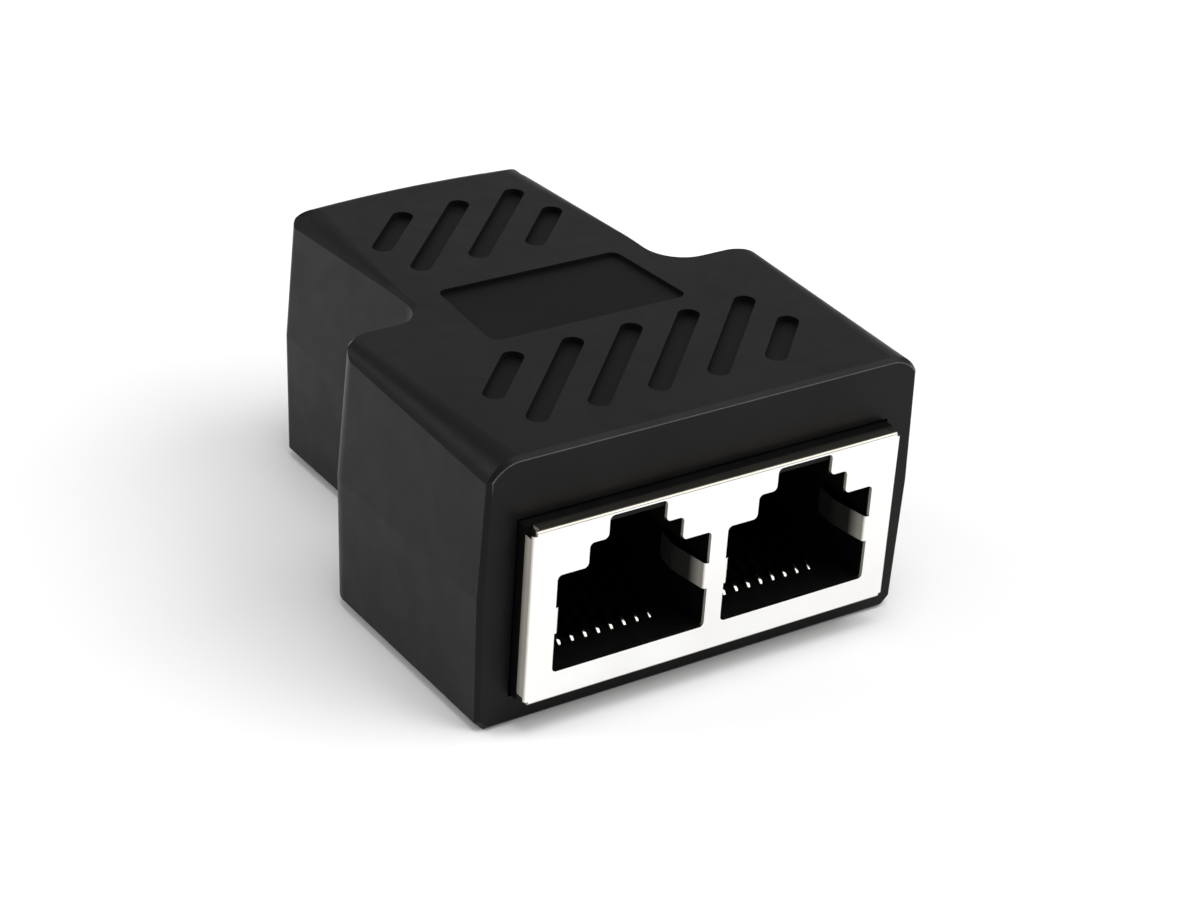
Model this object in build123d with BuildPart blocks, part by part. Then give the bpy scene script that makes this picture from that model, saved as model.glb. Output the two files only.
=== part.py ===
from build123d import *
import os
from math import asin, cos, radians, sin, sqrt, tan

# Ethernet cable splitter: a T-shaped housing of two shells, with a twin network socket in
# the wide end and a single one of the same design in the narrow end.
# Millimetres. X runs across, -Y is the wide front end, +Z is up. The origin is the middle
# of the footprint, on the underside.

# Housing walls, and the room they leave round what the housing holds
side_wall = 1.5
roof = 1.5
base_wall = 1.4
twin_side_room = 1.17
single_side_room = 0.73
headroom = 1.87
twin_rear_room = 6.3
socket_spacing = 12.5

# Housing form
parting_height = 9.8
shoulder_radius = 2.3
neck_radius = 2.6
rear_corner_radius = 0.8
rear_bow_radius = 75.0
upper_draft = 2.0
lower_draft = 1.5
tongue_height = 1.0
tongue_thickness = 0.7
tongue_gap = 0.08

# Rounds on the long edges: how far each reaches across the top and down the wall
front_round_across = 2.3
front_round_down = 1.6
shoulder_round_across = 1.0
shoulder_round_down = 0.7
rear_round_across = 2.4
rear_round_down = 1.3
base_edge_break = 0.7
round_run_out = 1.0
rear_edge_round = 0.9
edge_break = 0.3

# Grip slots and label recess in the roof
slot_pitch = 4.66
slot_run = 7.7
slot_width = 1.5
slot_depth = 0.45
wide_slot_count = 6
wide_slots_from_front = 7.85
neck_slot_count = 4
neck_slots_from_front = 29.95
recess_depth = 0.3
recess_front_width = 15.7
recess_rear_width = 14.5
recess_from_front = 14.1
recess_length = 8.15
recess_corner_radius = 0.7

# Socket face and plug openings
stand_off = 1.7
socket_base = 2.3
port_width = 11.8
port_wall = 1.32
plug_height = 7.16
middle_step_width = 7.2
middle_step_height = 1.72
top_step_width = 4.4
top_step_height = 1.6
port_corner_radius = 0.35
side_margin = 1.97
bottom_margin = 2.0

# Plug depth, and the body's webs and board pegs
plug_depth = 11.9
back_wall = 0.4
socket_floor = 0.5
channel_web = 0.5
peg_radius = 1.0
peg_from_side = 3.3
peg_depth = 6.5
peg_rise = 0.4

# Folded sheet covers
sheet = 0.25
flange_depth = 0.95
fold_radius = 0.2
corner_relief = 0.55
corner_notch = 0.3
tab_height = 1.9
tab_above_floor = 2.9
tab_crest_depth = 3.0
tab_end_depth = 4.8
tab_root = 0.3
tab_crest = 0.6
tab_rest = 0.15
tab_root_bend = 0.14
tab_crest_bend = 2.0
cover_end_margin = 0.8
cover_bend_radius = 0.4
leg_width = 1.3
leg_rise = 0.5
leg_depths = (6.0, 12.5)

# Contact wires and their insert
contact_count = 8
contact_pitch = 1.016
contact_width = 0.45
contact_thickness = 0.3
contact_bend_depth = 3.4
contact_bend_radius = 0.675
contact_bend_rise = 0.15
contact_slope = 22.0
contact_end_depth = 10.4
leg_behind_plug = 0.85
leg_row_pitch = 1.6
tail_rise = 0.8
insert_width = 9.4
insert_nose_depth = 2.5
leg_block_depth = 2.65
insert_gap = 0.05
groove_gap = 0.05

# Circuit board
board_thickness = 1.2
board_wall_gap = 0.35
board_tail_gap = 0.12
board_slot_gap = 0.1
board_overhang = 0.6

# Fixings inside the shells
post_radius = 1.7
wide_post_from_side = 4.4
wide_post_from_shoulder = -3.7
neck_post_from_side = 2.9
neck_post_from_shoulder = 3.2
pin_radius = 0.9
pin_height = 2.0
fit_gap = 0.1
window_gap = 0.15
rib_width = 1.2
rib_depths = (5.0, 13.5)
side_rib_top = 8.0
stop_top = 7.0
stop_from_side = 4.0
hold_down_depth = 9.5
hold_down_radius = 1.2

# Places and sizes worked out from those above
port_pitch = port_width + port_wall
odd_leg_depth = plug_depth + leg_behind_plug
even_leg_depth = odd_leg_depth + leg_row_pitch
insert_rear_depth = plug_depth + insert_gap + leg_block_depth
socket_depth = insert_rear_depth + back_wall
twin_width = port_pitch + port_width + 2 * side_margin
single_width = port_width + 2 * side_margin
socket_height = bottom_margin + plug_height + middle_step_height + top_step_height + sheet
housing_width = twin_width + 2 * (twin_side_room + side_wall)
neck_width = single_width + 2 * (single_side_room + side_wall)
board_underside = socket_base + socket_height
board_top = board_underside + board_thickness
roof_underside = board_top + headroom
housing_height = roof_underside + roof
socket_reach = socket_depth - stand_off
wide_length = socket_reach + twin_rear_room
housing_length = 2 * socket_reach + socket_spacing
overall_length = housing_length + 2 * stand_off
front_end = -overall_length / 2
rear_end = overall_length / 2
front_face = front_end + stand_off
shoulder_y = front_face + wide_length
rear_face = front_face + housing_length
neck_straight_y = shoulder_y + neck_radius
insert_top = bottom_margin - insert_gap
wire_run_height = bottom_margin + contact_bend_rise - 2 * contact_bend_radius
bend_centre_height = wire_run_height + contact_bend_radius
parting_plane = Plane.XY.offset(parting_height)
front_mouth = Plane(origin=(0, front_end, socket_base), x_dir=(1, 0, 0), z_dir=(0, -1, 0))
rear_mouth = Plane(origin=(0, rear_end, socket_base), x_dir=(-1, 0, 0), z_dir=(0, 1, 0))
sockets = ((front_mouth, 2), (rear_mouth, 1))
bottom_middle = (Align.CENTER, Align.MIN)


def wall_half_width(width, height):
    """Half the outer width at a height, with the draft of the shell there."""
    draft = upper_draft if height > parting_height else lower_draft
    return width / 2 - tan(radians(draft)) * abs(height - parting_height)


def port_centres(ports):
    return [port_pitch * (i - (ports - 1) / 2) for i in range(ports)]


def socket_width(ports):
    return twin_width if ports == 2 else single_width


def contact_offset(index):
    return contact_pitch * (index - (contact_count - 1) / 2)


def leg_depth(index):
    return even_leg_depth if index % 2 else odd_leg_depth


def plan_plane(mouth, height):
    """Level plane of a socket: local x runs across, local y into the socket."""
    return Plane(origin=mouth.origin + Vector(0, 0, height), x_dir=mouth.x_dir, z_dir=(0, 0, 1))


def side_plane(mouth, across):
    """Upright plane of a socket: local x runs into the socket, local y is up."""
    return Plane(origin=mouth.origin + mouth.x_dir * across, x_dir=-mouth.z_dir, z_dir=mouth.x_dir)


# Housing


def upright_edges(builder):
    """Edges that stand nearly upright, from the front to the rear."""
    return builder.edges().filter_by(lambda edge: abs(edge.tangent_at(0.5).Z) > 0.9).sort_by(Axis.Y)


def housing_form(rise, draft, inset=0.0):
    """Upper half of the T-shaped block, drafted from the parting line."""
    front_reach = 0.0 if inset else 2.0
    front = front_face + inset - front_reach
    wide = housing_width / 2 - inset
    neck = neck_width / 2 - inset
    crown = rear_face - inset
    bow = rear_bow_radius - inset
    corner_y = crown - bow + sqrt(bow**2 - neck**2)
    with BuildPart() as form:
        with BuildSketch(parting_plane):
            with Locations((0, front)):
                Rectangle(2 * wide, shoulder_y - inset - front, align=bottom_middle)
        extrude(amount=rise, taper=draft)
        if shoulder_radius - inset > edge_break:
            fillet(upright_edges(form)[-2:], shoulder_radius - inset)
        with BuildSketch(parting_plane):
            with BuildLine():
                Polyline((-neck, corner_y), (-neck, front), (neck, front), (neck, corner_y))
                ThreePointArc((neck, corner_y), (0, crown), (-neck, corner_y))
            make_face()
        extrude(amount=rise, taper=draft)
        neck_corners = upright_edges(form).sort_by(lambda edge: abs(edge.center().X))[:4].sort_by(Axis.Y)
        if rear_corner_radius > inset:
            fillet(neck_corners[2:], rear_corner_radius - inset)
        fillet(neck_corners[:2], neck_radius + inset)
        if front_reach:
            split(bisect_by=Plane.XZ.offset(-front_face), keep=Keep.BOTTOM)
    return form.part


def edge_round(width, start, end):
    """Cutter for a long top edge and its mirror image: a bar less the cone along the edge.

    start and end give y, and how far the round reaches across the top and along the wall.
    """
    touch = []
    radii = []
    for y, across, down in (start, end):
        touch.append(Vector(wall_half_width(width, housing_height - down) - across, y, housing_height))
        radii.append((across**2 + down**2) / (2 * down))
    length = (touch[1] - touch[0]).length
    along = (touch[1] - touch[0]).normalized()
    lean = asin((radii[0] - radii[1]) / length)
    axis = along * cos(lean) + Vector(0, 0, sin(lean))
    to_touch = Vector(0, 0, cos(lean)) - along * sin(lean)
    height = length * cos(lean)
    bar_side = 2 * max(radii)
    with BuildPart() as cutter:
        with Locations(Plane(origin=touch[0] - to_touch * radii[0], x_dir=to_touch, z_dir=axis)):
            Box(bar_side, bar_side, height, align=(Align.MIN, Align.MIN, Align.MIN))
            cone_middle = (Align.CENTER, Align.CENTER, Align.MIN)
            Cone(radii[0], radii[1], height, align=cone_middle, mode=Mode.SUBTRACT)
        mirror(about=Plane.YZ)
    return cutter.part


def rear_edge_cutter():
    """Cutter that follows the bow of the rear top edge."""
    half_sweep = 15
    overshoot = 2.0
    top_bow = rear_bow_radius - tan(radians(upper_draft)) * (housing_height - parting_height)
    outward = (sin(radians(half_sweep)), cos(radians(half_sweep)), 0)
    normal = (cos(radians(half_sweep)), -sin(radians(half_sweep)), 0)
    centre = (0, rear_face - rear_bow_radius, 0)
    flat = (top_bow - rear_edge_round, housing_height)
    crease = (top_bow, housing_height - rear_edge_round)
    with BuildPart() as cutter:
        with BuildSketch(Plane(origin=centre, x_dir=outward, z_dir=normal)):
            with BuildLine():
                TangentArc(flat, crease, tangent=(1, 0))
                Polyline(
                    crease,
                    (top_bow + overshoot, crease[1]),
                    (top_bow + overshoot, housing_height + overshoot),
                    (flat[0], housing_height + overshoot),
                    flat,
                )
            make_face()
        revolve(axis=Axis(centre, (0, 0, 1)), revolution_arc=2 * half_sweep)
    return cutter.part


def tongue_ring(outer_inset, inner_inset, height):
    """Upright band that follows the housing's plan, standing on the parting plane."""
    with BuildPart() as ring:
        add(housing_form(height, 0, outer_inset))
        add(housing_form(height, 0, inner_inset), mode=Mode.SUBTRACT)
    return ring.part


with BuildPart() as upper_form:
    add(housing_form(housing_height - parting_height, upper_draft))
    chamfer(upper_form.faces().sort_by(Axis.Z)[-1].edges().sort_by(Axis.Y)[1:], edge_break)
    front_round = (front_face - round_run_out, front_round_across, front_round_down)
    shoulder_round = (shoulder_y + round_run_out, shoulder_round_across, shoulder_round_down)
    neck_round = (neck_straight_y, edge_break, edge_break)
    rear_round = (rear_face + round_run_out, rear_round_across, rear_round_down)
    add(edge_round(housing_width, front_round, shoulder_round), mode=Mode.SUBTRACT)
    add(edge_round(neck_width, neck_round, rear_round), mode=Mode.SUBTRACT)
    add(rear_edge_cutter(), mode=Mode.SUBTRACT)
    chamfer(upper_form.faces().sort_by(Axis.Y)[0].edges().sort_by(Axis.Z)[1:], edge_break)

with BuildPart() as lower_form:
    add(mirror(housing_form(parting_height, lower_draft), about=parting_plane))
    chamfer(lower_form.faces().sort_by(Axis.Z)[0].edges().sort_by(Axis.Y)[1:], base_edge_break)
    chamfer(lower_form.faces().sort_by(Axis.Y)[0].edges().sort_by(Axis.Z)[:-1], edge_break)

# Holes through the end walls for the two sockets
with BuildPart() as windows:
    for mouth, ports in sockets:
        with BuildSketch(mouth):
            with Locations((0, -window_gap)):
                Rectangle(
                    socket_width(ports) + 2 * window_gap,
                    socket_height + 2 * window_gap,
                    align=bottom_middle,
                )
        extrude(amount=-(stand_off + side_wall + cover_end_margin))

wide_post = (housing_width / 2 - wide_post_from_side, shoulder_y + wide_post_from_shoulder)
neck_post = (neck_width / 2 - neck_post_from_side, shoulder_y + neck_post_from_shoulder)
post_places = [(side * x, y) for x, y in (wide_post, neck_post) for side in (-1, 1)]


def grip_slots(count, middle_y):
    """Row of slots at 45 degrees; the first and the last are half length."""
    with BuildSketch() as row:
        for i in range(count):
            x = slot_pitch * (i - (count - 1) / 2)
            start = 0 if i == 0 else -slot_run / 2
            end = 0 if i == count - 1 else slot_run / 2
            middle = (start + end) / 2
            with Locations((x + middle, middle_y + middle)):
                SlotCenterToCenter((end - start) * sqrt(2), slot_width, rotation=45)
    return row.sketch


def label_recess():
    front = front_face + recess_from_front
    rear = front + recess_length
    with BuildSketch() as recess:
        with BuildLine():
            Polyline(
                (-recess_front_width / 2, front),
                (recess_front_width / 2, front),
                (recess_rear_width / 2, rear),
                (-recess_rear_width / 2, rear),
                close=True,
            )
        make_face()
        fillet(recess.vertices(), recess_corner_radius)
    return recess.sketch


with BuildPart() as upper_shell:
    add(upper_form.part)
    upper_room = housing_form(roof_underside - parting_height, upper_draft, side_wall)
    add(upper_room, mode=Mode.SUBTRACT)
    # Grip slots and label recess
    with BuildSketch(Plane.XY.offset(housing_height)):
        add(grip_slots(wide_slot_count, front_face + wide_slots_from_front))
        add(grip_slots(neck_slot_count, front_face + neck_slots_from_front))
    extrude(amount=-slot_depth, mode=Mode.SUBTRACT)
    with BuildSketch(Plane.XY.offset(housing_height)):
        add(label_recess())
    extrude(amount=-recess_depth, mode=Mode.SUBTRACT)
    # Hollow posts that take the pins of the lower shell
    with BuildSketch(Plane.XY.offset(parting_height + fit_gap)):
        with Locations(*post_places):
            Circle(post_radius)
    extrude(amount=roof_underside - parting_height)
    with BuildSketch(parting_plane):
        with Locations(*post_places):
            Circle(pin_radius + fit_gap)
    extrude(amount=pin_height + 2 * fit_gap, mode=Mode.SUBTRACT)
    # Studs that hold the circuit board down
    for mouth, ports in sockets:
        with BuildSketch(plan_plane(mouth, socket_height + board_thickness + fit_gap)):
            with Locations((0, hold_down_depth)):
                Circle(hold_down_radius)
        extrude(amount=roof_underside - board_top)
    # Rebate for the tongue of the lower shell
    rebate_inset = side_wall - tongue_thickness - tongue_gap
    rebate = tongue_ring(rebate_inset, side_wall + tongue_gap, tongue_height + tongue_gap)
    add(rebate, mode=Mode.SUBTRACT)
    add(windows.part, mode=Mode.SUBTRACT)
upper_shell.part.label = "upper_shell"

with BuildPart() as lower_shell:
    add(lower_form.part)
    lower_room = housing_form(parting_height - base_wall, lower_draft, side_wall)
    add(mirror(lower_room, about=parting_plane), mode=Mode.SUBTRACT)
    # Tongue that stands in the rebate of the upper shell
    add(tongue_ring(side_wall - tongue_thickness, side_wall - tongue_gap, tongue_height))
    # Posts with pins
    with BuildSketch(Plane.XY.offset(base_wall / 2)):
        with Locations(*post_places):
            Circle(post_radius)
    extrude(amount=parting_height - base_wall / 2)
    with BuildSketch(parting_plane):
        with Locations(*post_places):
            Circle(pin_radius)
    extrude(amount=pin_height)
    for mouth, ports in sockets:
        half_width = socket_width(ports) / 2
        rib_reach = wall_half_width((housing_width if ports == 2 else neck_width), base_wall) - half_width
        # Ribs under the socket
        with BuildSketch(plan_plane(mouth, base_wall / 2 - socket_base)):
            with Locations(*[(0, depth) for depth in rib_depths]):
                Rectangle(2 * half_width, rib_width)
        extrude(amount=socket_base - base_wall / 2)
        # Ribs beside it and stops behind it
        with BuildSketch(plan_plane(mouth, base_wall / 2 - socket_base)):
            for side in (-1, 1):
                start = half_width + sheet + fit_gap
                end = half_width + rib_reach - side_wall / 2
                with Locations((side * (start + end) / 2, hold_down_depth)):
                    Rectangle(end - start, rib_width)
        extrude(amount=side_rib_top - base_wall / 2)
        with BuildSketch(plan_plane(mouth, base_wall / 2 - socket_base)):
            with Locations(
                *[
                    (side * (half_width - stop_from_side), socket_depth + sheet + fit_gap)
                    for side in (-1, 1)
                ]
            ):
                Rectangle(rib_width, rib_width, align=bottom_middle)
        extrude(amount=stop_top - base_wall / 2)
    add(windows.part, mode=Mode.SUBTRACT)
lower_shell.part.label = "lower_shell"


# Sockets


def port_opening(top, corner_radius=0.0):
    """Stepped plug opening, standing on the port floor, cut off level at its top."""
    middle = plug_height + middle_step_height
    with BuildSketch() as opening:
        Rectangle(port_width, plug_height, align=bottom_middle)
        Rectangle(middle_step_width, middle, align=bottom_middle)
        Rectangle(top_step_width, top, align=bottom_middle)
        if corner_radius:
            fillet(opening.vertices(), corner_radius)
    return opening.sketch


def socket_body(mouth, ports):
    """Moulded body: solid block, plug cavities, pocket for each contact insert, board pegs."""
    width = socket_width(ports)
    channel_top = socket_height - sheet - channel_web - bottom_margin
    pocket_width = insert_width + 2 * insert_gap
    pegs = [(side * (width / 2 - peg_from_side), peg_depth) for side in (-1, 1)]
    with BuildPart() as body:
        with BuildSketch(mouth.offset(-flange_depth)):
            Rectangle(width, socket_height, align=bottom_middle)
        extrude(amount=flange_depth - socket_depth)
        rear_uprights = body.edges().filter_by(Axis.Z).sort_by(Axis(mouth.origin, mouth.z_dir))[:2]
        fillet(rear_uprights, cover_bend_radius)
        with BuildSketch(mouth.offset(-sheet)):
            with Locations((0, sheet)):
                Rectangle(width - 2 * sheet, socket_height - 2 * sheet, align=bottom_middle)
        extrude(amount=-flange_depth)
        with BuildSketch(mouth):
            for centre in port_centres(ports):
                with Locations((centre, bottom_margin)):
                    add(port_opening(channel_top))
        extrude(amount=-plug_depth, mode=Mode.SUBTRACT)
        with BuildSketch(mouth.offset(insert_gap - insert_nose_depth)):
            with Locations(*[(centre, socket_floor) for centre in port_centres(ports)]):
                Rectangle(pocket_width, bottom_margin, align=bottom_middle)
        extrude(amount=-socket_depth, mode=Mode.SUBTRACT)
        with BuildSketch(mouth.offset(-plug_depth)):
            with Locations(*[(centre, socket_floor) for centre in port_centres(ports)]):
                Rectangle(pocket_width, socket_height, align=bottom_middle)
        extrude(amount=-socket_depth, mode=Mode.SUBTRACT)
        with BuildSketch(plan_plane(mouth, socket_height)):
            with Locations(*pegs):
                Circle(peg_radius)
        extrude(amount=board_thickness + peg_rise)
        chamfer(body.faces().sort_by(Axis.Z)[-2:].edges(), peg_rise / 2)
    return body.part


def face_cover(mouth, ports):
    """Folded sheet over the socket face: stepped openings, four flanges, spring tabs."""
    width = socket_width(ports)
    corners = [(side * width / 2, height) for side in (-1, 1) for height in (0, socket_height)]
    edge = port_width / 2
    with BuildPart() as cover:
        with BuildSketch(mouth):
            Rectangle(width, socket_height, align=bottom_middle)
        extrude(amount=-flange_depth)
        with BuildSketch(mouth.offset(-sheet)):
            with Locations((0, sheet)):
                Rectangle(width - 2 * sheet, socket_height - 2 * sheet, align=bottom_middle)
        extrude(amount=-flange_depth, mode=Mode.SUBTRACT)
        # Relief at the corners, where the flanges part
        with BuildSketch(mouth):
            with Locations(*corners):
                Rectangle(2 * corner_notch, 2 * corner_notch)
        extrude(amount=-flange_depth, mode=Mode.SUBTRACT)
        with BuildSketch(mouth.offset(-sheet)):
            with Locations(*corners):
                Rectangle(2 * corner_relief, 2 * corner_relief)
        extrude(amount=-flange_depth, mode=Mode.SUBTRACT)
        folds = cover.faces().sort_by(Axis(mouth.origin, mouth.z_dir))[-1].outer_wire().edges()
        fillet(folds.sort_by(SortBy.LENGTH)[-4:], fold_radius)
        with BuildSketch(mouth):
            for centre in port_centres(ports):
                with Locations((centre, bottom_margin)):
                    add(port_opening(socket_height - sheet - bottom_margin, port_corner_radius))
        extrude(amount=-sheet, mode=Mode.SUBTRACT)
        # Spring tabs, folded back into each opening
        with BuildSketch(plan_plane(mouth, bottom_margin + tab_above_floor)):
            for centre in port_centres(ports):
                for side in (-1, 1):
                    with BuildLine(mode=Mode.PRIVATE) as strip:
                        FilletPolyline(
                            (centre + side * (edge + tab_root), sheet / 2),
                            (centre + side * (edge - sheet / 2 - insert_gap), sheet / 2),
                            (centre + side * (edge - tab_crest), tab_crest_depth),
                            (centre + side * (edge - tab_rest - sheet / 2), tab_end_depth),
                            radius=[tab_root_bend, tab_crest_bend],
                        )
                    trace(strip.line, line_width=sheet)
        extrude(amount=tab_height)
    return cover.part


def back_cover(mouth, ports):
    """Sheet wrapped round the sides and the back of the body, with legs into the board."""
    side_x = (socket_width(ports) + sheet) / 2
    start = stand_off + side_wall + cover_end_margin
    end = socket_depth + sheet / 2
    with BuildPart() as cover:
        with BuildSketch(plan_plane(mouth, 0)):
            with BuildLine(mode=Mode.PRIVATE) as wrap:
                FilletPolyline(
                    (-side_x, start),
                    (-side_x, end),
                    (side_x, end),
                    (side_x, start),
                    radius=cover_bend_radius + sheet / 2,
                )
            trace(wrap.line, line_width=sheet)
        extrude(amount=socket_height)
        with BuildSketch(plan_plane(mouth, socket_height)):
            with Locations(*[(side * side_x, depth) for side in (-1, 1) for depth in leg_depths]):
                Rectangle(sheet, leg_width)
        extrude(amount=board_thickness + leg_rise)
    return cover.part


def contact_wire(mouth, across, depth):
    """Contact: leg, run under the comb, bend round its nose, and a sprung arm that slopes back up."""
    bend = (contact_bend_depth, bend_centre_height)
    last_angle = radians(90 + contact_slope)
    bend_end = (
        bend[0] + contact_bend_radius * cos(last_angle),
        bend[1] + contact_bend_radius * sin(last_angle),
    )
    rise = tan(radians(contact_slope)) * (contact_end_depth - bend_end[0])
    underside = wire_run_height - contact_thickness / 2
    leg_length = socket_height + board_thickness + tail_rise - underside
    with BuildPart() as wire:
        with BuildSketch(side_plane(mouth, across)):
            with Locations((depth, underside)):
                Rectangle(contact_thickness, leg_length, align=bottom_middle)
            with Locations((bend[0], underside)):
                Rectangle(depth - bend[0], contact_thickness, align=(Align.MIN, Align.MIN))
            with BuildLine(mode=Mode.PRIVATE) as arm:
                ThreePointArc((bend[0], wire_run_height), (bend[0] - contact_bend_radius, bend[1]), bend_end)
                Line(bend_end, (contact_end_depth, bend_end[1] + rise))
            trace(arm.line, line_width=contact_thickness)
        extrude(amount=contact_width / 2, both=True)
    return wire.part


def wire_room(depth):
    """Side view of the space that a comb and its leg block leave for one contact."""
    groove_top = wire_run_height + contact_thickness / 2 + groove_gap
    nose_radius = contact_bend_radius - contact_thickness / 2 - groove_gap
    slot = contact_thickness + 2 * groove_gap
    reach = 2 * bend_centre_height
    with BuildSketch() as room:
        with Locations((contact_bend_depth, bend_centre_height)):
            Rectangle(reach, reach)
            RegularPolygon(nose_radius, 8, mode=Mode.SUBTRACT)
        with Locations((contact_bend_depth, groove_top)):
            Rectangle(reach, reach, align=(Align.MIN, Align.MIN), mode=Mode.SUBTRACT)
        with Locations((contact_bend_depth, 0)):
            Rectangle(depth + slot / 2 - contact_bend_depth, groove_top, align=(Align.MIN, Align.MIN))
        with Locations((depth, 0)):
            Rectangle(slot, socket_height, align=bottom_middle)
    return room.sketch


def insert_block(mouth, centre, start, bottom, top):
    """Moulded block from start to the back of the insert, with room for the eight contacts."""
    with BuildPart() as block:
        with BuildSketch(plan_plane(mouth, bottom)):
            with Locations((centre, start)):
                Rectangle(insert_width, insert_rear_depth - start, align=bottom_middle)
        extrude(amount=top - bottom)
        for parity in (0, 1):
            places = [centre + contact_offset(i) for i in range(parity, contact_count, 2)]
            with BuildSketch(*[side_plane(mouth, x) for x in places]):
                add(wire_room(leg_depth(parity)))
            extrude(amount=contact_width / 2 + groove_gap, both=True, mode=Mode.SUBTRACT)
    return block.part


with BuildPart() as front_jack_body:
    add(socket_body(front_mouth, 2))
front_jack_body.part.label = "front_jack_body"

with BuildPart() as front_shield:
    add(face_cover(front_mouth, 2))
front_shield.part.label = "front_shield"

with BuildPart() as front_back_shield:
    add(back_cover(front_mouth, 2))
front_back_shield.part.label = "front_back_shield"

with BuildPart() as rear_jack_body:
    add(socket_body(rear_mouth, 1))
rear_jack_body.part.label = "rear_jack_body"

with BuildPart() as rear_shield:
    add(face_cover(rear_mouth, 1))
rear_shield.part.label = "rear_shield"

with BuildPart() as rear_back_shield:
    add(back_cover(rear_mouth, 1))
rear_back_shield.part.label = "rear_back_shield"

left_centre, right_centre = port_centres(2)
ports_by_name = {
    "left": (front_mouth, left_centre),
    "right": (front_mouth, right_centre),
    "rear": (rear_mouth, 0),
}

# Circuit board

with BuildPart() as circuit_board:
    wide_half = wall_half_width(housing_width, board_top) - side_wall - board_wall_gap
    neck_half = wall_half_width(neck_width, board_top) - side_wall - board_wall_gap
    board_front = front_face + side_wall + board_wall_gap
    board_step = front_face + socket_reach + board_overhang
    board_rear = rear_face - side_wall - 2 * board_wall_gap
    with BuildSketch(Plane.XY.offset(board_underside)):
        with Locations((0, board_front)):
            Rectangle(2 * wide_half, board_step - board_front, align=bottom_middle)
            Rectangle(2 * neck_half, board_rear - board_front, align=bottom_middle)
        with Locations(*post_places):
            Circle(post_radius + board_wall_gap, mode=Mode.SUBTRACT)
    extrude(amount=board_thickness)
    for mouth, centre in ports_by_name.values():
        tails = [(centre + contact_offset(i), leg_depth(i)) for i in range(contact_count)]
        with BuildSketch(plan_plane(mouth, socket_height)):
            with Locations(*tails):
                Rectangle(contact_width + 2 * board_tail_gap, contact_thickness + 2 * board_tail_gap)
        extrude(amount=board_thickness, mode=Mode.SUBTRACT)
    for mouth, ports in sockets:
        half_width = socket_width(ports) / 2
        with BuildSketch(plan_plane(mouth, socket_height)):
            with Locations(*[(side * (half_width - peg_from_side), peg_depth) for side in (-1, 1)]):
                Circle(peg_radius + board_slot_gap)
            for depth in leg_depths:
                with Locations(*[(side * (half_width + sheet / 2), depth) for side in (-1, 1)]):
                    Rectangle(sheet + 2 * board_slot_gap, leg_width + 2 * board_slot_gap)
        extrude(amount=board_thickness, mode=Mode.SUBTRACT)
circuit_board.part.label = "circuit_board"

os.makedirs("parts", exist_ok=True)
export_step(upper_shell.part, "parts/upper_shell.step")
export_step(lower_shell.part, "parts/lower_shell.step")
export_step(circuit_board.part, "parts/circuit_board.step")
export_step(front_jack_body.part, "parts/front_jack_body.step")
export_step(front_shield.part, "parts/front_shield.step")
export_step(front_back_shield.part, "parts/front_back_shield.step")
export_step(rear_jack_body.part, "parts/rear_jack_body.step")
export_step(rear_shield.part, "parts/rear_shield.step")
export_step(rear_back_shield.part, "parts/rear_back_shield.step")

for name, (mouth, centre) in ports_by_name.items():
    with BuildPart() as comb:
        add(insert_block(mouth, centre, insert_nose_depth, socket_floor, insert_top))
    comb.part.label = f"{name}_contact_insert"
    export_step(comb.part, f"parts/{name}_contact_insert.step")
    with BuildPart() as leg_block:
        block_start = plug_depth + insert_gap
        add(insert_block(mouth, centre, block_start, bottom_margin, socket_height - insert_gap))
    leg_block.part.label = f"{name}_leg_block"
    export_step(leg_block.part, f"parts/{name}_leg_block.step")
    for i in range(contact_count):
        with BuildPart() as contact:
            add(contact_wire(mouth, centre + contact_offset(i), leg_depth(i)))
        contact.part.label = f"{name}_contact_{i + 1}"
        export_step(contact.part, f"parts/{name}_contact_{i + 1}.step")
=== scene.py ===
from math import radians

import bpy
from mathutils import Matrix, Vector


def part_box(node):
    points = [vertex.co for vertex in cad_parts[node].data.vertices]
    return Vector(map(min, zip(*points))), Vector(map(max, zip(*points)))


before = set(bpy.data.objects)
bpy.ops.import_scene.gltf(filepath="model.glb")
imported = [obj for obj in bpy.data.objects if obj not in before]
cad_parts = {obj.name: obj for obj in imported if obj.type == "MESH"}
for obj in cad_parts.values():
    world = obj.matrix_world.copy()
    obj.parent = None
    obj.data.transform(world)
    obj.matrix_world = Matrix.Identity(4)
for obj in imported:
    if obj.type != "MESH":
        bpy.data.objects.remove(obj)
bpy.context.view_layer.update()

MM = 0.001


# Camera: the place, direction and lens of the photograph

CAMERA_PLACE = Vector((-104.33, -153.30, 108.12)) * MM
CAMERA_AZIMUTH = -35.56
CAMERA_ELEVATION = 28.56
CAMERA_ROLL = 4.03
LENS = 90.45


def aim(azimuth, elevation, roll=0.0):
    """Turn that looks at the object from an azimuth (0 is the front) and an elevation, in degrees."""
    return (
        Matrix.Rotation(radians(azimuth), 4, "Z")
        @ Matrix.Rotation(radians(90 - elevation), 4, "X")
        @ Matrix.Rotation(radians(roll), 4, "Z")
    )


def make_camera():
    data = bpy.data.cameras.new("camera")
    data.lens = LENS
    data.sensor_width = 36
    data.clip_start = 0.01
    data.clip_end = 10
    camera = bpy.data.objects.new("camera", data)
    turn = aim(CAMERA_AZIMUTH, CAMERA_ELEVATION, CAMERA_ROLL)
    camera.matrix_world = Matrix.Translation(CAMERA_PLACE) @ turn
    bpy.context.scene.collection.objects.link(camera)
    bpy.context.scene.camera = camera


# Studio: pale floor, soft lights all round

FLOOR_SIZE = 3.0
FLOOR_GAP = 0.02 * MM
SKY_STRENGTH = 0.45


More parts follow.
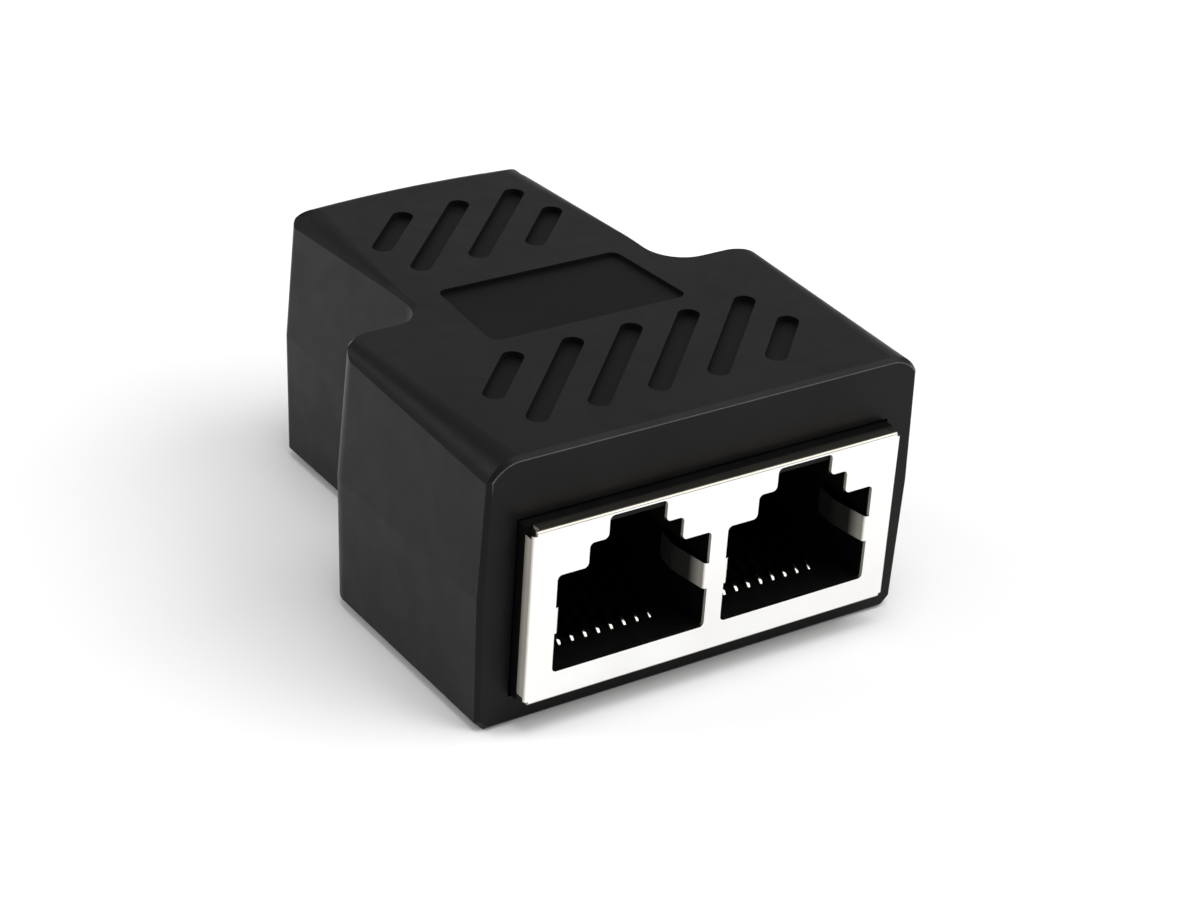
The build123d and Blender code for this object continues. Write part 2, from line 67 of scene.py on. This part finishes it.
def softbox(name, azimuth, elevation, distance, size, power):
    """Round soft light aimed at the middle of the part, in metres and watts."""
    data = bpy.data.lights.new(name, "AREA")
    data.shape = "DISK"
    data.size = size
    data.energy = power
    lamp = bpy.data.objects.new(name, data)
    lamp.matrix_world = aim(azimuth, elevation) @ Matrix.Translation((0, 0, distance))
    bpy.context.scene.collection.objects.link(lamp)


def make_studio():
    bpy.ops.mesh.primitive_plane_add(size=FLOOR_SIZE)
    floor = bpy.context.object
    floor.name = "floor"
    floor.location.z = -FLOOR_GAP
    floor.data.materials.append(floor_material())
    world = bpy.data.worlds.new("studio")
    world.use_nodes = True
    sky = world.node_tree.nodes["Background"]
    sky.inputs["Color"].default_value = (1, 1, 1, 1)
    sky.inputs["Strength"].default_value = SKY_STRENGTH
    bpy.context.scene.world = world
    softbox("key", azimuth=-126, elevation=35, distance=0.7, size=0.4, power=1.3)
    softbox("fill", azimuth=48, elevation=45, distance=0.7, size=0.7, power=3.3)
    softbox("front", azimuth=-20, elevation=82, distance=0.8, size=0.4, power=2.0)
    bpy.context.scene.view_settings.view_transform = "Standard"


# Materials

# Where painted shade, painted highlights and painted glints begin and where they are full, in mm from the
# middle of the part towards a mouth
# painted highlight on the housing's top rims at its front and rear faces
RIM_HIGHLIGHT_DEPTHS = (19.35, 19.45)
# painted shade on the shield: near black within, its own colour beyond
SHIELD_SHADE_DEPTHS = (19.8, 20.7)
# painted glint on the nose bends of the contact wires
WIRE_GLINT_DEPTHS = (17.9, 18.1)

# The same in mm above the floor
RIM_HIGHLIGHT_HEIGHTS = (17.3, 18.3)


class Shader:
    """A new material, and short ways to add nodes to it."""

    def __init__(self, name):
        self.material = bpy.data.materials.new(name)
        self.material.use_nodes = True
        self.nodes = self.material.node_tree.nodes
        self.links = self.material.node_tree.links
        self.surface = self.nodes["Principled BSDF"]
        self.place = self.nodes.new("ShaderNodeTexCoord").outputs["Object"]

    def set(self, **values):
        """Gives the shader's own sockets values that are the same all over."""
        for name, value in values.items():
            self.surface.inputs[name.replace("_", " ")].default_value = value

    def noise(self, size_mm, detail=2.0, stretch=(1, 1, 1)):
        """Noise whose blobs are about that many millimetres across."""
        mapping = self.nodes.new("ShaderNodeMapping")
        mapping.inputs["Scale"].default_value = [s / (size_mm * MM) for s in stretch]
        texture = self.nodes.new("ShaderNodeTexNoise")
        texture.inputs["Scale"].default_value = 1.0
        texture.inputs["Detail"].default_value = detail
        self.links.new(self.place, mapping.inputs["Vector"])
        self.links.new(mapping.outputs["Vector"], texture.inputs["Vector"])
        return texture.outputs["Fac"]

    def spread(self, value, low, high, start=0.35, end=0.65):
        """Turns a value from start to end into one from low to high; the defaults suit a noise."""
        node = self.nodes.new("ShaderNodeMapRange")
        node.inputs["From Min"].default_value = start
        node.inputs["From Max"].default_value = end
        node.inputs["To Min"].default_value = low
        node.inputs["To Max"].default_value = high
        self.links.new(value, node.inputs["Value"])
        return node.outputs["Result"]

    def blend(self, factor, first, second):
        """Mix of two colours, each given as numbers or as another node's output."""
        node = self.nodes.new("ShaderNodeMix")
        node.data_type = "RGBA"
        for colour, socket in ((first, node.inputs["A"]), (second, node.inputs["B"])):
            if isinstance(colour, tuple):
                socket.default_value = (*colour, 1)
            else:
                self.links.new(colour, socket)
        self.links.new(factor, node.inputs["Factor"])
        return node.outputs["Result"]

    def part(self, vector, axis):
        """One of a vector's X, Y and Z."""
        node = self.nodes.new("ShaderNodeSeparateXYZ")
        self.links.new(vector, node.inputs["Vector"])
        return node.outputs[axis]

    def math(self, operation, *values):
        node = self.nodes.new("ShaderNodeMath")
        node.operation = operation
        for value, socket in zip(values, node.inputs):
            self.links.new(value, socket)
        return node.outputs["Value"]

    def sunk_floors(self, top):
        """1 on level faces that lie just below a height, 0 elsewhere."""
        height = self.part(self.place, "Z")
        below = self.spread(height, 1.0, 0.0, top - 0.2 * MM, top - 0.1 * MM)
        normal = self.nodes.new("ShaderNodeNewGeometry").outputs["True Normal"]
        level = self.spread(self.part(normal, "Z"), 0.0, 1.0, 0.97, 0.99)
        return self.math("MULTIPLY", below, level)

    def near_mouth(self, inner, outer):
        """0 within the inner distance from the middle, 1 beyond the outer one, in mm."""
        distance = self.math("ABSOLUTE", self.part(self.place, "Y"))
        return self.spread(distance, 0.0, 1.0, inner * MM, outer * MM)

    def high(self, low, high):
        """0 below the low height, 1 above the high one, in mm."""
        return self.spread(self.part(self.place, "Z"), 0.0, 1.0, low * MM, high * MM)

    def facing(self, axis, start, end):
        """0 where a surface is level with an axis, 1 where it faces along it, either way."""
        normal = self.nodes.new("ShaderNodeNewGeometry").outputs["Normal"]
        return self.spread(self.math("ABSOLUTE", self.part(normal, axis)), 0.0, 1.0, start, end)

    def facing_up(self, start, end):
        """0 on steep and hanging surfaces, 1 on those that face up."""
        normal = self.nodes.new("ShaderNodeNewGeometry").outputs["Normal"]
        return self.spread(self.part(normal, "Z"), 0.0, 1.0, start, end)

    def edges(self, reach_mm):
        """1 along sharp edges, fading to 0 within a reach of them."""
        normal = self.nodes.new("ShaderNodeNewGeometry").outputs["Normal"]
        rounded = self.nodes.new("ShaderNodeBevel")
        rounded.samples = 8
        rounded.inputs["Radius"].default_value = reach_mm * MM
        turn = self.nodes.new("ShaderNodeVectorMath")
        turn.operation = "DOT_PRODUCT"
        self.links.new(normal, turn.inputs[0])
        self.links.new(rounded.outputs["Normal"], turn.inputs[1])
        return self.spread(turn.outputs["Value"], 1.0, 0.0, 0.93, 0.985)

    def bump(self, height, depth_mm):
        """Normal of a surface that a height from 0 to 1 raises by up to a depth."""
        node = self.nodes.new("ShaderNodeBump")
        node.inputs["Strength"].default_value = 1.0
        node.inputs["Distance"].default_value = depth_mm * MM
        self.links.new(height, node.inputs["Height"])
        return node.outputs["Normal"]

    def join(self, value, name):
        """Gives one of the shader's own sockets a value that varies."""
        self.links.new(value, self.surface.inputs[name])


def housing_plastic():
    """Satin black shell: fine grain, faint flow clouds, matt slot and recess floors coloured darker as
    painted shade, and a painted highlight along the top rims of its front and rear faces.
    """
    shader = Shader("housing_plastic")
    shader.set(Specular_IOR_Level=0.11)
    clouds = shader.spread(shader.noise(7.0, detail=3.0), 0.0, 1.0)
    sunk = shader.sunk_floors(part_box("upper_shell")[1].z)
    skin = shader.blend(clouds, (0.0056, 0.005, 0.0048), (0.0072, 0.0065, 0.0063))
    # painted shade: the slot and recess floors are coloured darker than the skin
    shaded_floor_colour = shader.blend(clouds, (0.0022, 0.0021, 0.0021), (0.003, 0.0029, 0.0029))
    # painted highlight: a light colour along sharp edges on the top rims of the front and rear faces
    rim_highlight_zone = shader.math("MULTIPLY", shader.near_mouth(*RIM_HIGHLIGHT_DEPTHS), shader.high(*RIM_HIGHLIGHT_HEIGHTS))
    rim_highlight = shader.math("MULTIPLY", shader.edges(0.15), rim_highlight_zone)
    colour = shader.blend(sunk, skin, shaded_floor_colour)
    # the painted highlight's colour on those rim edges
    shader.join(shader.blend(rim_highlight, colour, (0.17, 0.162, 0.155)), "Base Color")
    satin = shader.spread(shader.noise(1.8, detail=4.0), 0.34, 0.42)
    matt = shader.spread(sunk, 0.0, 0.54, 0.0, 1.0)
    shader.join(shader.math("MAXIMUM", satin, matt), "Roughness")
    shader.join(shader.bump(shader.noise(0.16, detail=2.0), 0.0016), "Normal")
    return shader.material


def inner_plastic(name, dark, light, roughness):
    """Black plastic inside the sockets: plain moulded, with a little flow in its tone."""
    shader = Shader(name)
    shader.set(Specular_IOR_Level=0.12)
    clouds = shader.spread(shader.noise(3.0, detail=3.0), 0.0, 1.0)
    shader.join(shader.blend(clouds, dark, light), "Base Color")
    patches = shader.noise(0.9, detail=3.0)
    shader.join(shader.spread(patches, roughness - 0.05, roughness + 0.05), "Roughness")
    shader.join(shader.bump(shader.noise(0.2, detail=2.0), 0.0015), "Normal")
    return shader.material


def bright_sheet():
    """Tinned sheet: bright, with faint rolling lines; painted shade makes its side flanges duller and
    warmer, a painted reflection of the black housing darkens its top and bottom flanges and its bends,
    and painted shade makes it dark deep inside the sockets.
    """
    shader = Shader("bright_sheet")
    tone = shader.spread(shader.noise(5.0, detail=3.0), 0.0, 1.0)
    bright = shader.blend(tone, (0.93, 0.92, 0.9), (0.97, 0.965, 0.95))
    # painted shade: duller, warmer colour for the side-facing flanges
    painted_shade_colour = shader.blend(tone, (0.58, 0.55, 0.48), (0.66, 0.63, 0.56))
    # near-black colour of the painted shade deep inside the sockets
    dark = shader.blend(tone, (0.03, 0.029, 0.027), (0.05, 0.049, 0.046))
    # painted reflection of the black housing on top- and bottom-facing flanges and bends
    painted_reflection_tone = shader.blend(tone, (0.36, 0.34, 0.29), (0.42, 0.4, 0.35))
    sides = shader.facing("X", 0.5, 0.9)
    skin = shader.blend(sides, bright, painted_shade_colour)
    skin = shader.blend(shader.facing("Z", 0.15, 0.5), skin, painted_reflection_tone)
    # painted shade: the sheet turns near black deep inside the sockets
    shader.join(shader.blend(shader.near_mouth(*SHIELD_SHADE_DEPTHS), dark, skin), "Base Color")
    shader.join(shader.spread(sides, 1.0, 0.3, 0.0, 1.0), "Metallic")
    lines = shader.noise(0.3, detail=2.0, stretch=(0.03, 1, 1))
    shader.join(shader.spread(lines, 0.2, 0.27), "Roughness")
    shader.join(shader.bump(lines, 0.0006), "Normal")
    return shader.material


def wire_metal():
    """Plated spring wire: a painted glint along the crown of its upward-facing nose bends, and painted
    shade elsewhere.
    """
    shader = Shader("wire_metal")
    shader.set(Metallic=1.0)
    tone = shader.spread(shader.noise(1.5), 0.0, 1.0)
    # painted shade over most of the wire
    painted_shade_colour = shader.blend(tone, (0.012, 0.01, 0.007), (0.02, 0.017, 0.012))
    # painted glint colour on the crown of the nose bends
    bright = shader.blend(tone, (0.5, 0.48, 0.44), (0.6, 0.58, 0.53))
    crown = shader.spread(shader.facing("X", 0.03, 0.25), 1.0, 0.0, 0.0, 1.0)
    bend = shader.math("MULTIPLY", shader.near_mouth(*WIRE_GLINT_DEPTHS), shader.facing_up(0.05, 0.3))
    shader.join(shader.blend(shader.math("MULTIPLY", crown, bend), painted_shade_colour, bright), "Base Color")
    shader.join(shader.spread(shader.noise(0.4), 0.12, 0.2), "Roughness")
    return shader.material


def solder_mask():
    """Green lacquer of the board."""
    shader = Shader("solder_mask")
    tone = shader.spread(shader.noise(3.0), 0.0, 1.0)
    shader.join(shader.blend(tone, (0.01, 0.09, 0.035), (0.02, 0.13, 0.05)), "Base Color")
    shader.join(shader.spread(shader.noise(0.4), 0.3, 0.4), "Roughness")
    return shader.material


def floor_material():
    """Matt white, with a hardly visible unevenness."""
    shader = Shader("studio_floor")
    tone = shader.spread(shader.noise(300.0), 0.0, 1.0)
    shader.join(shader.blend(tone, (0.88, 0.88, 0.88), (0.9, 0.9, 0.9)), "Base Color")
    shader.set(Roughness=0.9, Specular_IOR_Level=0.1)
    return shader.material


def dress(material, *words, sharp=25, rounding=0.0):
    """Gives a material to each node whose name has one of the words, and smooths its curves.

    rounding, in millimetres, turns square-cut strip into round-edged wire.
    """
    for name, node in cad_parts.items():
        if any(word in name for word in words):
            for slot in node.material_slots:
                slot.material = material
            node.data.shade_smooth()
            node.data.set_sharp_from_angle(angle=radians(sharp))
            if rounding:
                weld = node.modifiers.new("joined_faces", "WELD")
                weld.merge_threshold = 0.002 * MM
                bevel = node.modifiers.new("rounding", "BEVEL")
                bevel.width = rounding * MM
                bevel.segments = 3
                bevel.limit_method = "ANGLE"
                bevel.angle_limit = radians(45)
            weighted = node.modifiers.new("even_faces", "WEIGHTED_NORMAL")
            weighted.keep_sharp = True


def dress_all():
    dress(housing_plastic(), "_shell", sharp=50)
    socket = inner_plastic("socket_plastic", (0.0018, 0.0018, 0.0019), (0.0026, 0.0026, 0.0027), 0.5)
    dress(socket, "_jack_body")
    insert = inner_plastic("insert_plastic", (0.002, 0.002, 0.002), (0.003, 0.003, 0.003), 0.55)
    dress(insert, "_insert", "_leg_block")
    dress(bright_sheet(), "_shield", sharp=15)
    dress(wire_metal(), *[f"contact_{i}" for i in range(1, 9)], sharp=60, rounding=0.13)
    dress(solder_mask(), "circuit_board")


dress_all()
make_studio()
make_camera()
